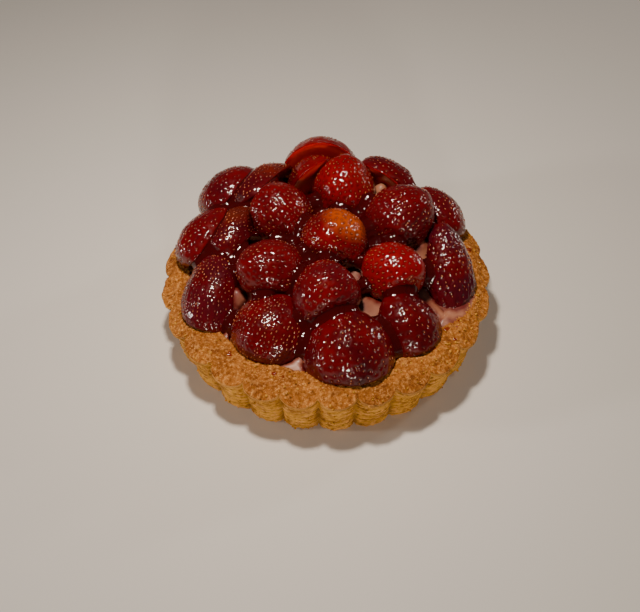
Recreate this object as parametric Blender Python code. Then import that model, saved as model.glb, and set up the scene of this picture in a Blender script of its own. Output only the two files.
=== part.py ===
"""Strawberry tart, 130 mm across: a fluted pastry shell filled with cream and piled with glazed strawberries.

Metres, +Z up. The origin is on the flat underside, at the middle of the shell.
The shell, the cream and each strawberry or half strawberry are separate solids.
"""

import math
from collections import namedtuple

import bmesh
import bpy
import numpy as np
from mathutils import Matrix, Vector

MM = 0.001
GAP = 0.3 * MM
MERGE = 0.01 * MM
SHARP_ANGLE = math.radians(40)

# Pastry shell
FLUTES = 25
FLUTE_STEPS = 6
FLUTE_DEPTH = 2.6 * MM
FLUTE_ARC = 0.94
FIRST_NOTCH = math.radians(8)
FLUTE_WANDER = math.radians(3.2)
WANDER_ZERO = math.radians(267)
SHELL_HEIGHT = 22 * MM
FOOT_RADIUS = 61 * MM
CREST_RADIUS = 65 * MM
FOOT_ROUND = 1.2 * MM
LIP_ROUND = 1.6 * MM
RIM_MIDDLE_RADIUS = 58 * MM
RIM_INNER_RADIUS = 53 * MM
RIM_CROWN = 0.5 * MM
RIM_INNER_DROP = 1.2 * MM
RIM_WAVER = 0.35 * MM
WELL_RADIUS = 50 * MM
FLOOR_THICKNESS = 4 * MM

# Cream
CREAM_STEPS = 60
CREAM_PEAK = 31 * MM
CREAM_EDGE = 20.6 * MM
CREAM_RINGS = (0.25, 0.5, 0.75)
CREAM_GAP = 1.5 * GAP

# Strawberries
BERRY_STEPS = 16
OUTLINE_SHARES = (0, 0.06, 0.18, 0.38, 0.58, 0.76, 0.9, 0.975, 1)
SHOULDER = 0.38
HULL_SHARE = 0.45
TIP_FALL = 2.1
TIP_FULLNESS = 0.62
PRESS_DIRECTIONS = 400
SAME_PLANE = math.radians(0.5)

# Sizes in millimetres and degrees. azimuth, radius and height place the middle of a berry.
# tip_turn and tip_rise say where its tip points, and face_turn and face_rise where its skin faces.
# depth is what is left of its width from the skin inwards: 1 for a whole berry, about a half for a cut one.
Berry = namedtuple(
    "Berry", "name azimuth radius height length width tip_turn tip_rise face_turn face_rise depth"
)

WHOLE_BERRIES = (
    Berry("berry_top", 32, 3, 37, 26, 27, 250, 50, 0, 0, 1),
    Berry("berry_ring_front", 267, 24.5, 33.5, 25, 25.5, 227, -10, 0, 0, 1),
    Berry("berry_ring_front_right", 337, 29, 33, 24, 24.5, 340, 30, 0, 0, 1),
    Berry("berry_ring_back_right", 29, 35, 36, 28, 28, 20, 40, 0, 0, 1),
    Berry("berry_ring_back", 77, 33, 39, 26, 26, 90, 60, 0, 0, 1),
    Berry("berry_ring_back_left", 136, 28, 36, 27, 27, 150, 40, 0, 0, 1),
    Berry("berry_ring_front_left", 207, 25, 34, 27, 25, 200, 30, 0, 0, 1),
)

HALF_BERRIES = (
    Berry("half_front", 281, 47, 29, 32, 36, 100, 42, 280, 48, 0.45),
    Berry("half_front_right", 315, 46, 27, 29, 26, 130, 45, 313, 45, 0.5),
    Berry("half_right", 353, 51, 26, 44, 22, 100, 42, 0, 60, 0.6),
    Berry("half_back_right_low", 29, 55, 30, 28, 22, 120, 25, 30, 30, 0.6),
    Berry("half_back_right_high", 53, 50, 34.5, 34, 25, 325, -8, 50, 20, 0.5),
    Berry("half_back_low", 75, 51, 23, 22, 18, 165, 5, 75, 50, 0.5),
    Berry("half_back", 92, 55, 36, 30, 34, 270, 80, 90, 10, 0.48),
    Berry("half_back_inner", 99, 44, 36, 31, 25, 300, 70, 122, 20, 0.5),
    Berry("half_back_left_low", 114, 50, 22.5, 27, 20, 204, 5, 114, 55, 0.5),
    Berry("half_back_left_inner", 127, 44.5, 35, 34, 26, 56, 0, 142, 19, 0.66),
    Berry("half_back_left", 139, 55.5, 33.5, 30, 26, 50, 22, 140, 32, 0.58),
    Berry("half_left_high", 166, 51.5, 31.5, 31, 24, 58, 20, 155, 38, 0.55),
    Berry("half_left_inner", 161, 40, 32, 31, 23, 54, 8, 148, 26, 0.72),
    Berry("half_left", 199, 50, 27, 35, 24.5, 80, 30, 200, 40, 0.56),
    Berry("half_front_left", 237, 41, 27, 28, 32, 60, 45, 238, 45, 0.55),
)


def clear_scene():
    for item in list(bpy.data.objects):
        bpy.data.objects.remove(item, do_unlink=True)


def material(name, colour, roughness):
    made = bpy.data.materials.new(name)
    made.use_nodes = True
    shader = made.node_tree.nodes["Principled BSDF"]
    shader.inputs["Base Color"].default_value = (*colour, 1)
    shader.inputs["Roughness"].default_value = roughness
    shader.inputs["Metallic"].default_value = 0
    return made


def object_from(bm, name, finish):
    """A smooth-shaded object in the scene from a bmesh, which is freed."""
    bmesh.ops.recalc_face_normals(bm, faces=bm.faces)
    mesh = bpy.data.meshes.new(name)
    bm.to_mesh(mesh)
    bm.free()
    mesh.materials.append(finish)
    mesh.shade_smooth()
    mesh.set_sharp_from_angle(angle=SHARP_ANGLE)
    made = bpy.data.objects.new(name, mesh)
    bpy.context.scene.collection.objects.link(made)
    return made


def cutter_from(bm, name, finish):
    """The same for a shape that only cuts others."""
    made = object_from(bm, name, finish)
    made.hide_render = True
    made.display_type = "WIRE"
    return made


def subtract(target, cutter):
    cut = target.modifiers.new(cutter.name, "BOOLEAN")
    cut.operation = "DIFFERENCE"
    cut.solver = "EXACT"
    cut.object = cutter


def edges_of(verts):
    return list({edge for vert in verts for edge in vert.link_edges})


def plain_loops(bm, sections, steps):
    """A round loop of edges for each (radius, height)."""
    loops = []
    for radius, height in sections:
        level = Matrix.Translation((0, 0, height))
        made = bmesh.ops.create_circle(bm, segments=steps, radius=radius, matrix=level)["verts"]
        loops.append(edges_of(made))
    return loops


def bridge(bm, loops):
    for one, other in zip(loops, loops[1:]):
        bmesh.ops.bridge_loops(bm, edges=one + other)


def cap_ends(bm, loops):
    for end in (loops[0], loops[-1]):
        bmesh.ops.contextual_create(bm, geom=end)


def on_bearing(azimuth, rise=0.0):
    """The unit vector at an azimuth and a rise above the horizontal, in degrees."""
    turn, lift = math.radians(azimuth), math.radians(rise)
    return Vector((math.cos(turn) * math.cos(lift), math.sin(turn) * math.cos(lift), math.sin(lift)))


# ---------------------------------------------------------------- pastry shell


def notch_angle(number):
    """Where a notch between two flutes is. Pressed by hand, the flutes differ a little in width."""
    even = FIRST_NOTCH + math.tau * number / FLUTES
    return even - FLUTE_WANDER * math.sin(2 * (even - WANDER_ZERO))


def flute_drop(part):
    """How far inside the crest a flute's rounded outline is, from 0 at its middle to 1 at either notch."""
    across = FLUTE_ARC * abs(2 * part - 1)
    return (1 - math.sqrt(1 - across**2)) / (1 - math.sqrt(1 - FLUTE_ARC**2))


def rim_waver(angle):
    """The gentle rise and fall of the rim around the shell."""
    return RIM_WAVER * (math.sin(3 * angle + 0.5) + math.sin(7 * angle))


def shell_loop(bm, radius, height, flute_share=0.0, waver_share=0.0):
    """One closed loop of edges around the shell, with its flutes in the given share."""
    made = bmesh.ops.create_circle(bm, segments=FLUTES * FLUTE_STEPS, radius=1)["verts"]
    for index, vert in enumerate(made):
        number, step = divmod(index, FLUTE_STEPS)
        part = step / FLUTE_STEPS
        angle = notch_angle(number) * (1 - part) + notch_angle(number + 1) * part
        reach = radius - flute_share * FLUTE_DEPTH * flute_drop(part)
        rise = height + waver_share * rim_waver(angle)
        vert.co = (reach * math.cos(angle), reach * math.sin(angle), rise)
    return edges_of(made)


def pastry_shell(finish):
    bm = bmesh.new()
    sections = (
        (FOOT_RADIUS - FOOT_ROUND, 0, 0.8, 0),
        (FOOT_RADIUS, FOOT_ROUND, 1, 0),
        (CREST_RADIUS, SHELL_HEIGHT - LIP_ROUND, 1, 1),
        (CREST_RADIUS - LIP_ROUND, SHELL_HEIGHT, 0.9, 1),
        (RIM_MIDDLE_RADIUS, SHELL_HEIGHT + RIM_CROWN, 0.1, 1),
        (RIM_INNER_RADIUS, SHELL_HEIGHT - RIM_INNER_DROP, 0, 0),
        (WELL_RADIUS, FLOOR_THICKNESS, 0, 0),
    )
    loops = [shell_loop(bm, *section) for section in sections]
    bridge(bm, loops)
    cap_ends(bm, loops)
    return object_from(bm, "pastry_shell", finish)


def rim_clearance(finish):
    """A plain ring just larger than the shell's wall, which trims the berries pressed onto the rim."""
    bm = bmesh.new()
    outer_radius = CREST_RADIUS + GAP
    sections = (
        (RIM_INNER_RADIUS - 2 * GAP, SHELL_HEIGHT - RIM_INNER_DROP + GAP),
        (RIM_MIDDLE_RADIUS, SHELL_HEIGHT + 2 * RIM_CROWN + GAP),
        (outer_radius, SHELL_HEIGHT + RIM_CROWN + GAP),
        (outer_radius, FLOOR_THICKNESS),
        (WELL_RADIUS - 2 * GAP, FLOOR_THICKNESS),
    )
    loops = plain_loops(bm, sections, CREAM_STEPS)
    bridge(bm, loops + loops[:1])
    return cutter_from(bm, "rim_clearance", finish)


# ---------------------------------------------------------------- strawberries


def berry_outline(length, width):
    """Points (radius, height) of half a strawberry's outline, from the cut hull to the tip."""
    points = []
    for share in OUTLINE_SHARES:
        if share < SHOULDER:
            fall = (1 - share / SHOULDER) ** 2
            wide = HULL_SHARE + (1 - HULL_SHARE) * math.sqrt(1 - fall)
        else:
            fall = (share - SHOULDER) / (1 - SHOULDER)
            wide = (1 - fall**TIP_FALL) ** TIP_FULLNESS
        points.append((wide * width / 2, (share - 0.5) * length))
    return points


def berry_mesh(berry):
    """A whole or half strawberry in its place, as a bmesh."""
    length, width = berry.length * MM, berry.width * MM
    bm = bmesh.new()
    outline = berry_outline(length, width)
    chain = [bm.verts.new((radius, 0, height)) for radius, height in outline]
    chain.insert(0, bm.verts.new((0, 0, outline[0][1])))
    edges = [bm.edges.new(pair) for pair in zip(chain, chain[1:])]
    turned = {"axis": (0, 0, 1), "cent": (0, 0, 0), "angle": math.tau, "steps": BERRY_STEPS}
    bmesh.ops.spin(bm, geom=chain + edges, use_merge=True, **turned)
    bmesh.ops.remove_doubles(bm, verts=bm.verts, dist=MERGE)
    if berry.depth < 1:
        missing = (1 - berry.depth) * width
        cut_flat(bm, Vector((missing - width / 2, 0, 0)), Vector((-1, 0, 0)))
        bmesh.ops.translate(bm, verts=bm.verts, vec=(-missing / 2, 0, 0))
    tip = on_bearing(berry.tip_turn, berry.tip_rise)
    facing = on_bearing(berry.face_turn, berry.face_rise)
    outward = (facing - tip * facing.dot(tip)).normalized()
    turn = Matrix((outward, tip.cross(outward), tip)).transposed()
    place = on_bearing(berry.azimuth) * berry.radius * MM + Vector((0, 0, berry.height * MM))
    bmesh.ops.transform(bm, verts=bm.verts, matrix=Matrix.Translation(place) @ turn.to_4x4())
    return bm


def cut_flat(bm, point, outward):
    """Cuts off what lies beyond a plane and closes the cut."""
    geom = list(bm.verts) + list(bm.edges) + list(bm.faces)
    plane = {"plane_co": point, "plane_no": outward}
    cut = bmesh.ops.bisect_plane(bm, geom=geom, dist=MERGE, clear_outer=True, **plane)
    rim = [item for item in cut["geom_cut"] if isinstance(item, bmesh.types.BMEdge)]
    if rim:
        bmesh.ops.contextual_create(bm, geom=rim)
        bmesh.ops.recalc_face_normals(bm, faces=bm.faces)


def spread_directions(count):
    """Unit vectors spread evenly over a ball, by the golden angle."""
    number = np.arange(count) + 0.5
    rise = 1 - 2 * number / count
    turn = math.pi * (1 + math.sqrt(5)) * number
    flat = np.sqrt(1 - rise**2)
    return np.stack([flat * np.cos(turn), flat * np.sin(turn), rise], axis=1)


def press_apart(first, second):
    """Flattens two berries where they press on each other, so that a thin gap is left between them."""
    ours = np.array([vert.co for vert in first.verts])
    theirs = np.array([vert.co for vert in second.verts])
    normals = [face.normal for face in first.faces] + [-face.normal for face in second.faces]
    ways = np.concatenate([spread_directions(PRESS_DIRECTIONS), np.array(normals)])
    reach = (ours @ ways.T).max(axis=0)
    start = (theirs @ ways.T).min(axis=0)
    best = int((reach - start).argmin())
    if reach[best] - start[best] <= -GAP:
        return
    way = Vector(ways[best])
    middle = float(reach[best] + start[best]) / 2
    cut_flat(first, way * (middle - GAP / 2), way)
    cut_flat(second, way * (middle + GAP / 2), -way)


def strawberries():
    """Every strawberry as a bmesh, by name, each clear of the others."""
    made = {berry.name: berry_mesh(berry) for berry in WHOLE_BERRIES + HALF_BERRIES}
    names = list(made)
    for index, name in enumerate(names):
        for other in names[index + 1 :]:
            press_apart(made[name], made[other])
    return made


# ---------------------------------------------------------------- cream


def cream_height(share):
    """The height of the cream's surface, from its middle at 0 to the rim at 1."""
    return CREAM_PEAK - (CREAM_PEAK - CREAM_EDGE) * share**2


def cream(finish, cutters):
    """The domed filling, which reaches down to the shell's floor and is dented by every berry."""
    bm = bmesh.new()
    edge_radius = RIM_INNER_RADIUS - CREAM_GAP
    sections = [(WELL_RADIUS - CREAM_GAP, FLOOR_THICKNESS + GAP), (edge_radius, CREAM_EDGE)]
    sections += [(edge_radius * share, cream_height(share)) for share in reversed(CREAM_RINGS)]
    loops = plain_loops(bm, sections, CREAM_STEPS)
    bridge(bm, loops)
    cap_ends(bm, loops)
    made = object_from(bm, "cream", finish)
    for cutter in cutters:
        subtract(made, cutter)
    return made


def dent_cutter(name, bm, finish):
    """A copy of a berry, a little larger all round, that presses its place into the cream."""
    larger = bmesh.new()
    bm.normal_update()
    for vert in bm.verts:
        larger.verts.new(vert.co + vert.normal * CREAM_GAP)
    bmesh.ops.convex_hull(larger, input=larger.verts)
    inside = [vert for vert in larger.verts if not vert.link_faces]
    bmesh.ops.delete(larger, geom=inside, context="VERTS")
    bmesh.ops.dissolve_limit(larger, angle_limit=SAME_PLANE, verts=larger.verts, edges=larger.edges)
    return cutter_from(larger, "dent_of_" + name, finish)


def reaches_rim(bm):
    return any(vert.co.xy.length > RIM_INNER_RADIUS and vert.co.z < SHELL_HEIGHT for vert in bm.verts)


def main():
    clear_scene()
    pastry = material("baked_pastry", (0.48, 0.26, 0.10), 0.75)
    filling = material("vanilla_cream", (0.55, 0.40, 0.30), 0.4)
    fruit = material("glazed_strawberry", (0.22, 0.006, 0.008), 0.15)
    pastry_shell(pastry)
    berries = strawberries()
    cream(filling, [dent_cutter(name, bm, fruit) for name, bm in berries.items()])
    ring = rim_clearance(pastry)
    for name, bm in berries.items():
        trimmed = reaches_rim(bm)
        berry = object_from(bm, name, fruit)
        if trimmed:
            subtract(berry, ring)


main()
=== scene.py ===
"""Looks of a glazed strawberry tart: baked crust, cream, fruit, seeds, glaze, crumbs and a plain stage."""

import math
import random
from collections import namedtuple

import bmesh
import bpy
from bpy.props import FloatProperty, FloatVectorProperty, IntProperty, PointerProperty
from bpy.types import Operator, Panel, PropertyGroup
from mathutils import Matrix, Vector
from mathutils.bvhtree import BVHTree
from mathutils.kdtree import KDTree
from mathutils.noise import noise, voronoi


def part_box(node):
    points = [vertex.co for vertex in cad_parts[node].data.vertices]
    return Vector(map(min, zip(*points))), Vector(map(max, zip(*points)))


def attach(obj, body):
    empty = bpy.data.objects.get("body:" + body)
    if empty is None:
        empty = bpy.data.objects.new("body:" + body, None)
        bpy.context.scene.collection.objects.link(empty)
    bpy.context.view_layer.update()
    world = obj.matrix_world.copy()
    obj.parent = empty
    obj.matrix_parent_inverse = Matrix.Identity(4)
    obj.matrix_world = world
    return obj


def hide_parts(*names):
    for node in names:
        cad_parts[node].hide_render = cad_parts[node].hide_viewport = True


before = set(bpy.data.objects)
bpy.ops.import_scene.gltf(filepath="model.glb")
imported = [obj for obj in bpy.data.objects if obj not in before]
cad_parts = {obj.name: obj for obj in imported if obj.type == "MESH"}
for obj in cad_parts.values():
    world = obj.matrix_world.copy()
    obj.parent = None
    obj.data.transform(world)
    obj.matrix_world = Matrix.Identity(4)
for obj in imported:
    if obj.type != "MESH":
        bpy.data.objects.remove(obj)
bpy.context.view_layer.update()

bl_info = {
    "name": "Strawberry Tart Looks",
    "version": (1, 0, 0),
    "blender": (4, 5, 0),
    "location": "3D View > Sidebar > Tart",
    "description": "Bakes, fills, glazes and lights a strawberry tart around its packed solids",
    "category": "Object",
}

MM = 0.001
UP = Vector((0, 0, 1))
SHELL_LOW, SHELL_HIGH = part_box("pastry_shell")
# Corners closer together than this are one.
MERGE = 0.005 * MM
# Rays start this far up or out, clear of the whole tart.
CLEAR = 0.1
# Air under the crust, so that its foot and the floor don't share a plane.
FLOOR_GAP = 0.05 * MM

# What each berry looks like. tip is where its tip points, as a turn and a rise in degrees, spacing is from
# seed to seed in millimetres, ripe runs from 0 for wine red to 1 for scarlet, blush is where a patch of paler
# skin faces and how strong it is, wrinkle is how far its skin has shrunk, and flesh is how pale its cut is.
Fruit = namedtuple("Fruit", "node tip spacing ripe blush wrinkle flesh")

FRUIT = tuple(Fruit(*row) for row in (
    ("berry_top", (250, 50), 2.2, 0.7, (20, 60, 0.85), 0.0, 0),
    ("berry_ring_front", (227, -10), 2.6, 0.45, (0, 0, 0), 0.25, 0),
    ("berry_ring_front_right", (340, 30), 2.4, 1.3, (0, 0, 0), 0.0, 0),
    ("berry_ring_back_right", (20, 40), 2.5, 0.35, (0, 0, 0), 0.15, 0),
    ("berry_ring_back", (90, 60), 2.2, 0.95, (350, 40, 0.04), 0.0, 0),
    ("berry_ring_back_left", (150, 40), 2.3, 0.45, (0, 0, 0), 0.1, 0),
    ("berry_ring_front_left", (200, 30), 2.4, 0.4, (0, 0, 0), 0.1, 0),
    ("half_front", (100, 42), 2.8, 0.25, (0, 0, 0), 0.1, 0.2),
    ("half_front_right", (130, 45), 3.0, 0.2, (0, 0, 0), 0.1, 0.2),
    ("half_right", (100, 42), 2.6, 0.3, (0, 0, 0), 0.9, 0.2),
    ("half_back_right_low", (120, 25), 2.4, 0.4, (0, 0, 0), 0.3, 0.2),
    ("half_back_right_high", (325, -8), 2.2, 0.35, (0, 0, 0), 0.2, 0.8),
    ("half_back_low", (165, 5), 2.5, 0.45, (0, 0, 0), 0.2, 0.2),
    ("half_back", (270, 80), 1.8, 0.9, (0, 0, 0), 0.1, 0.9),
    ("half_back_inner", (300, 70), 1.9, 0.7, (120, 40, 0.15), 0.1, 1.0),
    ("half_back_left_low", (204, 5), 2.5, 0.35, (0, 0, 0), 0.2, 0.2),
    ("half_back_left_inner", (56, 0), 1.7, 0.2, (60, 60, 0.15), 0.2, 0.1),
    ("half_back_left", (50, 22), 2.4, 0.35, (0, 0, 0), 0.2, 0.1),
    ("half_left_high", (58, 20), 2.2, 0.5, (0, 0, 0), 0.3, 0.1),
    ("half_left_inner", (54, 8), 1.7, 0.2, (90, 60, 0.15), 0.2, 0.1),
    ("half_left", (80, 30), 2.0, 0.35, (0, 0, 0), 0.5, 0.1),
    ("half_front_left", (60, 45), 1.9, 0.4, (0, 0, 0), 0.1, 0.2),
))

# What is stored at each point of a berry's skin for its material to read.
READINGS = ("pit", "cut", "flesh", "heart", "blush", "shrunk", "ripe")


def linear(code):
    """A hex sRGB colour as linear light."""
    shares = [int(code[start : start + 2], 16) / 255 for start in (1, 3, 5)]
    return tuple(c / 12.92 if c <= 0.04045 else ((c + 0.055) / 1.055) ** 2.4 for c in shares)


def colour(name, code, description):
    """A colour to choose, given as a hex code."""
    return FloatVectorProperty(
        name=name, description=description, default=linear(code), size=3, min=0, max=1, subtype="COLOR"
    )


def size(name, millimetres, description):
    """A length to choose, given in millimetres."""
    return FloatProperty(
        name=name, description=description, default=millimetres * MM, min=0, precision=5, subtype="DISTANCE"
    )


def angle(name, degrees, description):
    """An angle to choose, given in degrees."""
    return FloatProperty(name=name, description=description, default=math.radians(degrees), subtype="ANGLE")


class PastryLook(PropertyGroup):
    flutes: IntProperty(name="Flutes", description="Flutes that the tin pressed in", default=25, min=3)
    first_notch: angle("First notch", 8, "Where the first notch is")
    wander: angle("Wander", 3.2, "How far notches stray from even")
    wander_zero: angle("Wander start", 267, "Where notches do not stray")
    flute_depth: size("Flute depth", 3.0, "From a flute's crest to its notches")
    foot_radius: size("Foot radius", 61, "Radius of the flutes' crests at the foot")
    crest_radius: size("Crest radius", 65, "Radius of the flutes' crests at the rim")
    height: size("Height", 22, "Height of the rim's outer edge")
    inner_radius: size("Inner radius", 50.6, "Radius where the rim ends and the cream begins")
    inner_drop: size("Inner drop", 0.3, "How far the rim's inner edge lies below its middle")
    step: size("Mesh step", 0.42, "Spacing of the points that carry the crumb")
    droop: size("Droop", 2.6, "How far the rim's edge hangs lower over each flute than at its notches")
    lump: size("Lumps", 0.4, "Height of the soft unevenness left by the fingers")
    grain: size("Grain", 0.42, "Height of the sugar and butter grain")
    layer: size("Layers", 0.28, "Depth of the flaky layers on the wall")
    pit: size("Pits", 0.4, "Depth of the small holes left by steam")
    golden: colour("Golden", "#d89c3c", "Crust that faced the tin")
    tan: colour("Tan", "#ad6a2a", "Crust that faced the oven's air")
    # Toasted is also laid in the sunk crumb and the grain's dips as painted shade.
    toasted_and_crevice_shade: colour("Toasted", "#6e3612", "Crust browned further")
    # The notches' colour is pale dough darkened with painted shade.
    pale_dough_and_notch_shade: colour("Notches", "#5c3c0a", "Pale dough shaded deep in a notch")
    # Painted shade at the bottom of the steam holes.
    pit_shade: colour("Hollows", "#3a1603", "Bottom of pits and cracks")
    # Floury is partly dry grain and partly a painted highlight on raised crumb, the lip and the grain's
    # peaks.
    floury_and_highlight: colour("Floury", "#f2ae62", "Dry grains that stand proud")


# Where the cream stands proud between berries: (x, y, radius, rise) in millimetres.
DOLLOPS = (
    (23.0, 35.0, 6.5, 12.5),
    (38.2, 7.0, 5.0, 6.5),
    (45.0, 19.0, 4.0, 6.0),
    (-34.5, -18.0, 4.5, 4.5),
    (-14.5, -25.0, 4.5, 4.0),
    (-28.6, 13.5, 5.0, 5.0),
    (11.5, -1.0, 5.0, 4.0),
    (13.5, -23.5, 4.5, 0.4),
)
# Where juice soaked right through the cream, with painted shade: (x, y, radius in millimetres, how stained
# and shaded).
SOAKED_AND_SHADED = ((13.5, -24.0, 6.0, 0.6), (-14.5, -25.0, 4.0, 0.35))


class CreamLook(PropertyGroup):
    step: size("Mesh step", 0.8, "Spacing of the cream's points")
    swell: size("Swell", 0.3, "How far the cream closes up to the fruit and the pastry")
    ripple: size("Ripple", 0.25, "Height of the marks left by the spoon")
    vanilla: colour("Vanilla", "#a86e52", "Clean cream")
    # Stained cream is partly juice and partly painted shade among the berries.
    stained_and_shaded: colour("Stained", "#66160e", "Cream that has taken up juice")
    stain_and_shade_reach: size("Stain reach", 5.0, "How far juice has spread from the fruit")
    smear_turn: angle("Smear", -18.5, "Where the cream was spread over the rim")
    smear_width: angle("Smear width", 17, "Half the turn the smear takes")
    smear_reach: size("Smear reach", 59.6, "Radius the smear runs out to over the rim")
    smear_rise: size("Smear rise", 1.5, "Thickness of the smear")


class FruitLook(PropertyGroup):
    step: size("Mesh step", 0.36, "Spacing of the skin's points")
    unevenness: size("Unevenness", 0.5, "Height of the swellings that make each berry different")
    ripple: size("Ripple", 0.07, "Height of the small ripples in the glaze")
    pit_depth: size("Pit depth", 0.45, "Depth of the dimple around a seed")
    pit_width: size("Pit width", 0.68, "Radius of the dimple around a seed")
    wrinkle: size("Wrinkles", 0.4, "Height of the folds where skin has shrunk")
    seed_length: size("Seed length", 0.9, "From a seed's point to its blunt end")
    seed_width: size("Seed width", 0.5, "Across a seed")
    seed_rise: size("Seed rise", 0.17, "How far a seed's middle lies above the bottom of its dimple")
    # Wine red also darkens the seed dimples as painted shade.
    wine: colour("Wine red", "#3c0007", "The ripest skin")
    scarlet: colour("Scarlet", "#7c0306", "The least ripe red skin")
    pale: colour("Blush", "#b0480c", "Skin that stayed in the shade")
    plum: colour("Plum", "#3c0818", "Shrunken skin")
    flesh: colour("Flesh", "#7d0a04", "Cut flesh of a ripe berry")
    bright_flesh: colour("Bright flesh", "#dc1208", "Cut flesh of a less ripe berry")
    heart: colour("Heart", "#f04430", "Cut flesh at the heart")
    straw: colour("Straw", "#b8683c", "Seeds that stayed dry and pale")
    amber: colour("Amber", "#6e1e0c", "Seeds soaked in glaze")


class GlazeLook(PropertyGroup):
    step: size("Mesh step", 0.8, "Spacing of the glaze's points")
    fillet: size("Fillet", 2.2, "Radius of the glaze that pools between berries")
    sink: size("Sink", 0.75, "How far the glaze lies under the skin elsewhere")
    jelly: colour("Jelly", "#3a0103", "Set glaze, thick enough to look dark")
    syrup: colour("Syrup", "#7a2a10", "Thin glaze over pastry")
    drops: IntProperty(name="Drops", description="Splashes of glaze on the rim", default=34, min=0)


class CrumbLook(PropertyGroup):
    count: IntProperty(name="Crumbs", description="Loose crumbs on the rim and the wall", default=1700, min=0)
    smallest: size("Smallest", 0.3, "Width of the smallest crumb")
    largest: size("Largest", 1.1, "Width of the largest crumb")


class StageLook(PropertyGroup):
    floor: colour("Floor", "#dcd9d4", "Plain pale floor")
    floor_size: size("Floor size", 1300, "Side of the floor")
    distance: size("Distance", 370.3, "From the camera to the point it looks at")
    elevation: angle("Elevation", 48.45, "How steeply the camera looks down")
    turn: angle("Turn", 0.32, "How far the camera stands to the right")
    roll: angle("Roll", -0.25, "Tilt of the camera")


# ---- shared tools


def add_node(tree, kind, inputs=None, **settings):
    """Adds a node. An input that is a socket is linked, and any other is set."""
    made = tree.nodes.new(kind)
    for key, value in settings.items():
        setattr(made, key, value)
    for key, value in (inputs or {}).items():
        if isinstance(value, bpy.types.NodeSocket):
            tree.links.new(value, made.inputs[key])
        else:
            made.inputs[key].default_value = value
    return made


def new_material(name):
    """An empty material and its node tree."""
    made = bpy.data.materials.new(name)
    made.use_nodes = True
    made.node_tree.nodes.clear()
    return made, made.node_tree


def shade(made, settings):
    """Gives a material its shader with these settings and links, and returns it."""
    shader = add_node(made.node_tree, "ShaderNodeBsdfPrincipled", settings)
    add_node(made.node_tree, "ShaderNodeOutputMaterial", {"Surface": shader.outputs["BSDF"]})
    return made


def opaque(rgb):
    """A colour with full alpha, as sockets take it."""
    return (*rgb, 1)


def smooth_step(value, low, high):
    """0 below low, 1 above high, and an even rise between."""
    part = min(max((value - low) / (high - low), 0), 1)
    return part * part * (3 - 2 * part)


def on_bearing(turn, rise):
    """The direction with a turn about the vertical and a rise above the table, in degrees."""
    turn, rise = math.radians(turn), math.radians(rise)
    return Vector((math.cos(turn) * math.cos(rise), math.sin(turn) * math.cos(rise), math.sin(rise)))


def merged_copy(node):
    """A CAD node's mesh as a bmesh whose triangles share their corners."""
    bm = bmesh.new()
    bm.from_mesh(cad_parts[node].data)
    bmesh.ops.remove_doubles(bm, verts=bm.verts, dist=MERGE)
    return bm


def even_skin(bm, step):
    """The same solid with its surface made of even small squares, as a new bmesh."""
    rough = as_mesh(bm, "rough")
    holder = bpy.data.objects.new("rough", rough)
    bpy.context.scene.collection.objects.link(holder)
    remesh = holder.modifiers.new("even", "REMESH")
    remesh.mode = "VOXEL"
    remesh.voxel_size = step
    bpy.context.view_layer.update()
    evaluated = holder.evaluated_get(bpy.context.evaluated_depsgraph_get())
    fine = bmesh.new()
    fine.from_mesh(evaluated.to_mesh())
    evaluated.to_mesh_clear()
    bpy.data.objects.remove(holder)
    bpy.data.meshes.remove(rough)
    return fine


def relax(bm, verts, times):
    """Smooths part of a skin again and again."""
    for _ in range(times):
        bmesh.ops.smooth_vert(bm, verts=verts, factor=0.5, use_axis_x=True, use_axis_y=True, use_axis_z=True)


def copy_into(bm, shape, place):
    """Adds a copy of a small shape, set in place by a matrix."""
    copy = shape.copy()
    copy.transform(place)
    bm.from_mesh(copy)
    bpy.data.meshes.remove(copy)


def as_mesh(bm, name):
    """Keeps a bmesh as a mesh."""
    made = bpy.data.meshes.new(name)
    bm.to_mesh(made)
    bm.free()
    return made


def frame_on(place, normal, along):
    """A matrix that sets a shape on a surface: its Z along the normal and its Y as near along as it goes."""
    ahead = (along - normal * along.dot(normal)).normalized()
    return Matrix.Translation(place) @ Matrix((ahead.cross(normal), ahead, normal)).transposed().to_4x4()


def finish_piece(bm, name, finish, body="root"):
    """A smooth piece at the origin that rides on a CAD body."""
    mesh = as_mesh(bm, name)
    mesh.materials.append(finish)
    mesh.shade_smooth()
    piece = bpy.data.objects.new(name, mesh)
    bpy.context.scene.collection.objects.link(piece)
    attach(piece, body)
    return piece


# ---- pastry


def notch_angle(look, number):
    """Where a notch is: evenly spaced, but drawn a little towards two sides."""
    even = look.first_notch + math.tau * number / look.flutes
    return even - look.wander * math.sin(2 * (even - look.wander_zero))


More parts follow.
